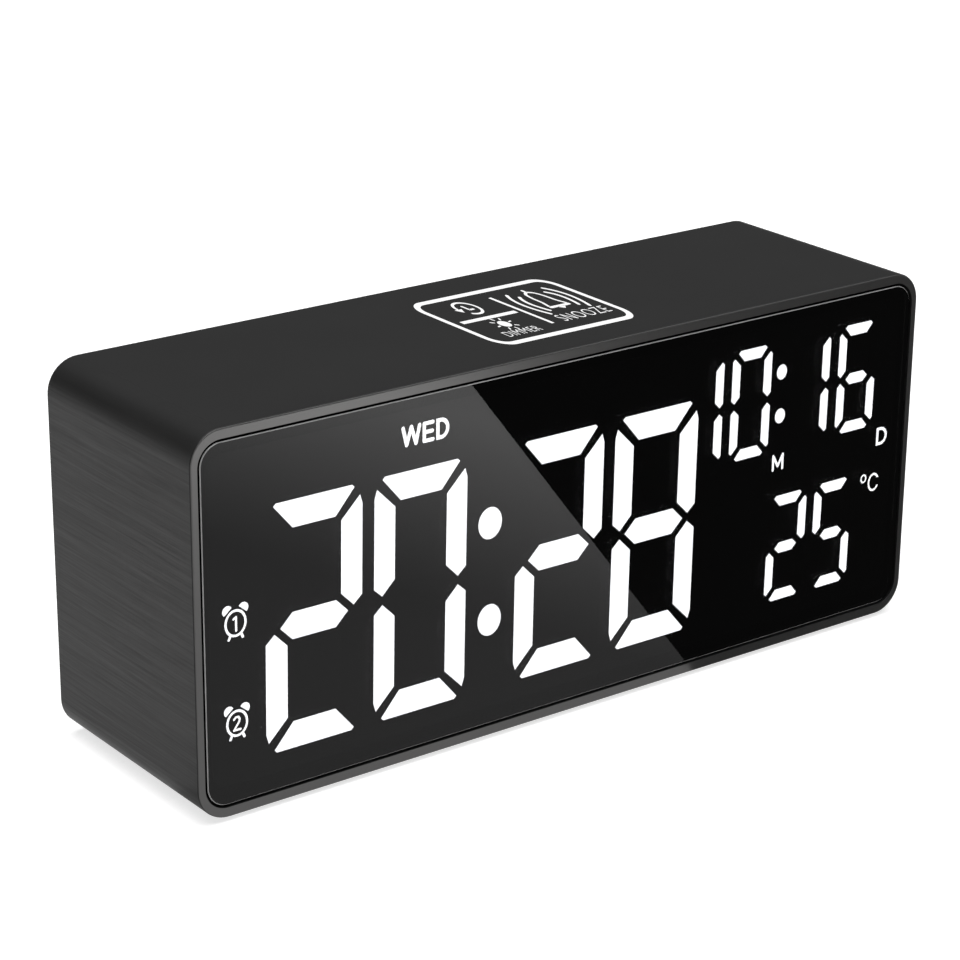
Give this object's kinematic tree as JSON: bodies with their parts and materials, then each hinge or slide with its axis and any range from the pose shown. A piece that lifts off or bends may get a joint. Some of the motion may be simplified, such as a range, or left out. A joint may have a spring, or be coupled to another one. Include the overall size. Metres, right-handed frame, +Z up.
{
  "type": "alarm clock",
  "caption": "Wide low digital alarm clock with a smoked front lens, white segment display, touch top, rear push buttons and a battery door.",
  "frame": {"origin": "on the surface it stands on, under the middle of the body", "axes": "+X to the right of the display, -Y out of the front lens, +Z up"},
  "size_m": [0.16, 0.046, 0.0693],
  "materials": {
    "housing_shell": "satin black plastic, brushed on the ends",
    "lens": "smoked acrylic, polished",
    "tape": "black adhesive tape",
    "mask_film": "black printed film",
    "lit_window": "white light diffuser, lit",
    "dark_window": "smoked diffuser, unlit",
    "reflector": "white moulded plastic",
    "circuit_board": "green solder mask over copper tracks",
    "led_body": "small white packages with a yellow phosphor",
    "screw_steel": "black-passivated steel",
    "chip_body": "moulded chip package",
    "metal_can": "drawn can",
    "capacitor_can": "sleeved aluminium can",
    "black_plastic": "moulded black plastic",
    "cover_plastic": "finely textured black plastic",
    "button_plastic": "smooth black plastic",
    "plunger_plastic": "pale moulded plastic",
    "foot_rubber": "matt rubber",
    "copper_foil": "copper foil",
    "red_wire": "insulated wire",
    "black_wire": "insulated wire",
    "ribbon": "flat grey ribbon cable",
    "cell_sleeve": "printed cell sleeve with bare steel ends",
    "contact_metal": "nickel-plated spring steel",
    "thermistor_bead": "epoxy bead"
  },
  "bodies": {
    "clock": {"aaa_cells": "cell_sleeve", "alarm_icons": "lit_window", "battery_lead_minus": "black_wire", "battery_lead_plus": "red_wire", "buzzer": "black_plastic", "capacitors": "capacitor_can", "colon_dots": "lit_window", "cover_screws": "screw_steel", "date_dots": "lit_window", "day_segments": "lit_window", "display_mask": "mask_film", "front_lens": "lens", "hour_segments": "lit_window", "housing": "housing_shell", "led_board": "circuit_board", "led_board_screws": "screw_steel", "led_chips": "led_body", "lens_tape": "tape", "main_board": "circuit_board", "main_board_screws": "screw_steel", "microcontroller": "chip_body", "minute_segments": "lit_window", "month_segments": "lit_window", "negative_springs": "contact_metal", "positive_contacts": "contact_metal", "power_socket": "black_plastic", "quartz_crystal": "metal_can", "rear_cover": "cover_plastic", "ribbon_cable": "ribbon", "rubber_feet": "foot_rubber", "segment_reflector": "reflector", "tact_switches": "black_plastic", "temperature_segments": "lit_window", "thermistor": "thermistor_bead", "touch_electrode": "copper_foil", "touch_lead": "black_wire", "unit_legends": "lit_window", "unlit_segments": "dark_window", "weekday_legend": "lit_window"},
    "set_key": {"set_button": "button_plastic", "set_plunger": "plunger_plastic"},
    "up_key": {"up_button": "button_plastic", "up_plunger": "plunger_plastic"},
    "down_key": {"down_button": "button_plastic", "down_plunger": "plunger_plastic"},
    "alarm1_key": {"alarm1_button": "button_plastic", "alarm1_plunger": "plunger_plastic"},
    "alarm2_key": {"alarm2_button": "button_plastic", "alarm2_plunger": "plunger_plastic"},
    "battery_lid": {"battery_door": "cover_plastic"}
  },
  "joints": [
    {"name": "set_press", "type": "slide", "parent": "clock", "child": "set_key", "axis": [0, -1, 0], "range_m": [0, 0.0004], "stiffness_N_per_m": 400, "springref_m": -0.0012},
    {"name": "up_press", "type": "slide", "parent": "clock", "child": "up_key", "axis": [0, -1, 0], "range_m": [0, 0.0004], "stiffness_N_per_m": 400, "springref_m": -0.0012},
    {"name": "down_press", "type": "slide", "parent": "clock", "child": "down_key", "axis": [0, -1, 0], "range_m": [0, 0.0004], "stiffness_N_per_m": 400, "springref_m": -0.0012},
    {"name": "alarm1_press", "type": "slide", "parent": "clock", "child": "alarm1_key", "axis": [0, -1, 0], "range_m": [0, 0.0004], "stiffness_N_per_m": 400, "springref_m": -0.0012},
    {"name": "alarm2_press", "type": "slide", "parent": "clock", "child": "alarm2_key", "axis": [0, -1, 0], "range_m": [0, 0.0004], "stiffness_N_per_m": 400, "springref_m": -0.0012},
    {"name": "battery_door_hinge", "type": "hinge", "parent": "clock", "child": "battery_lid", "pos_m": [0.072, 0.02082, 0.03505], "axis": [0, 0, -1], "range_deg": [0, 75]}
  ]
}
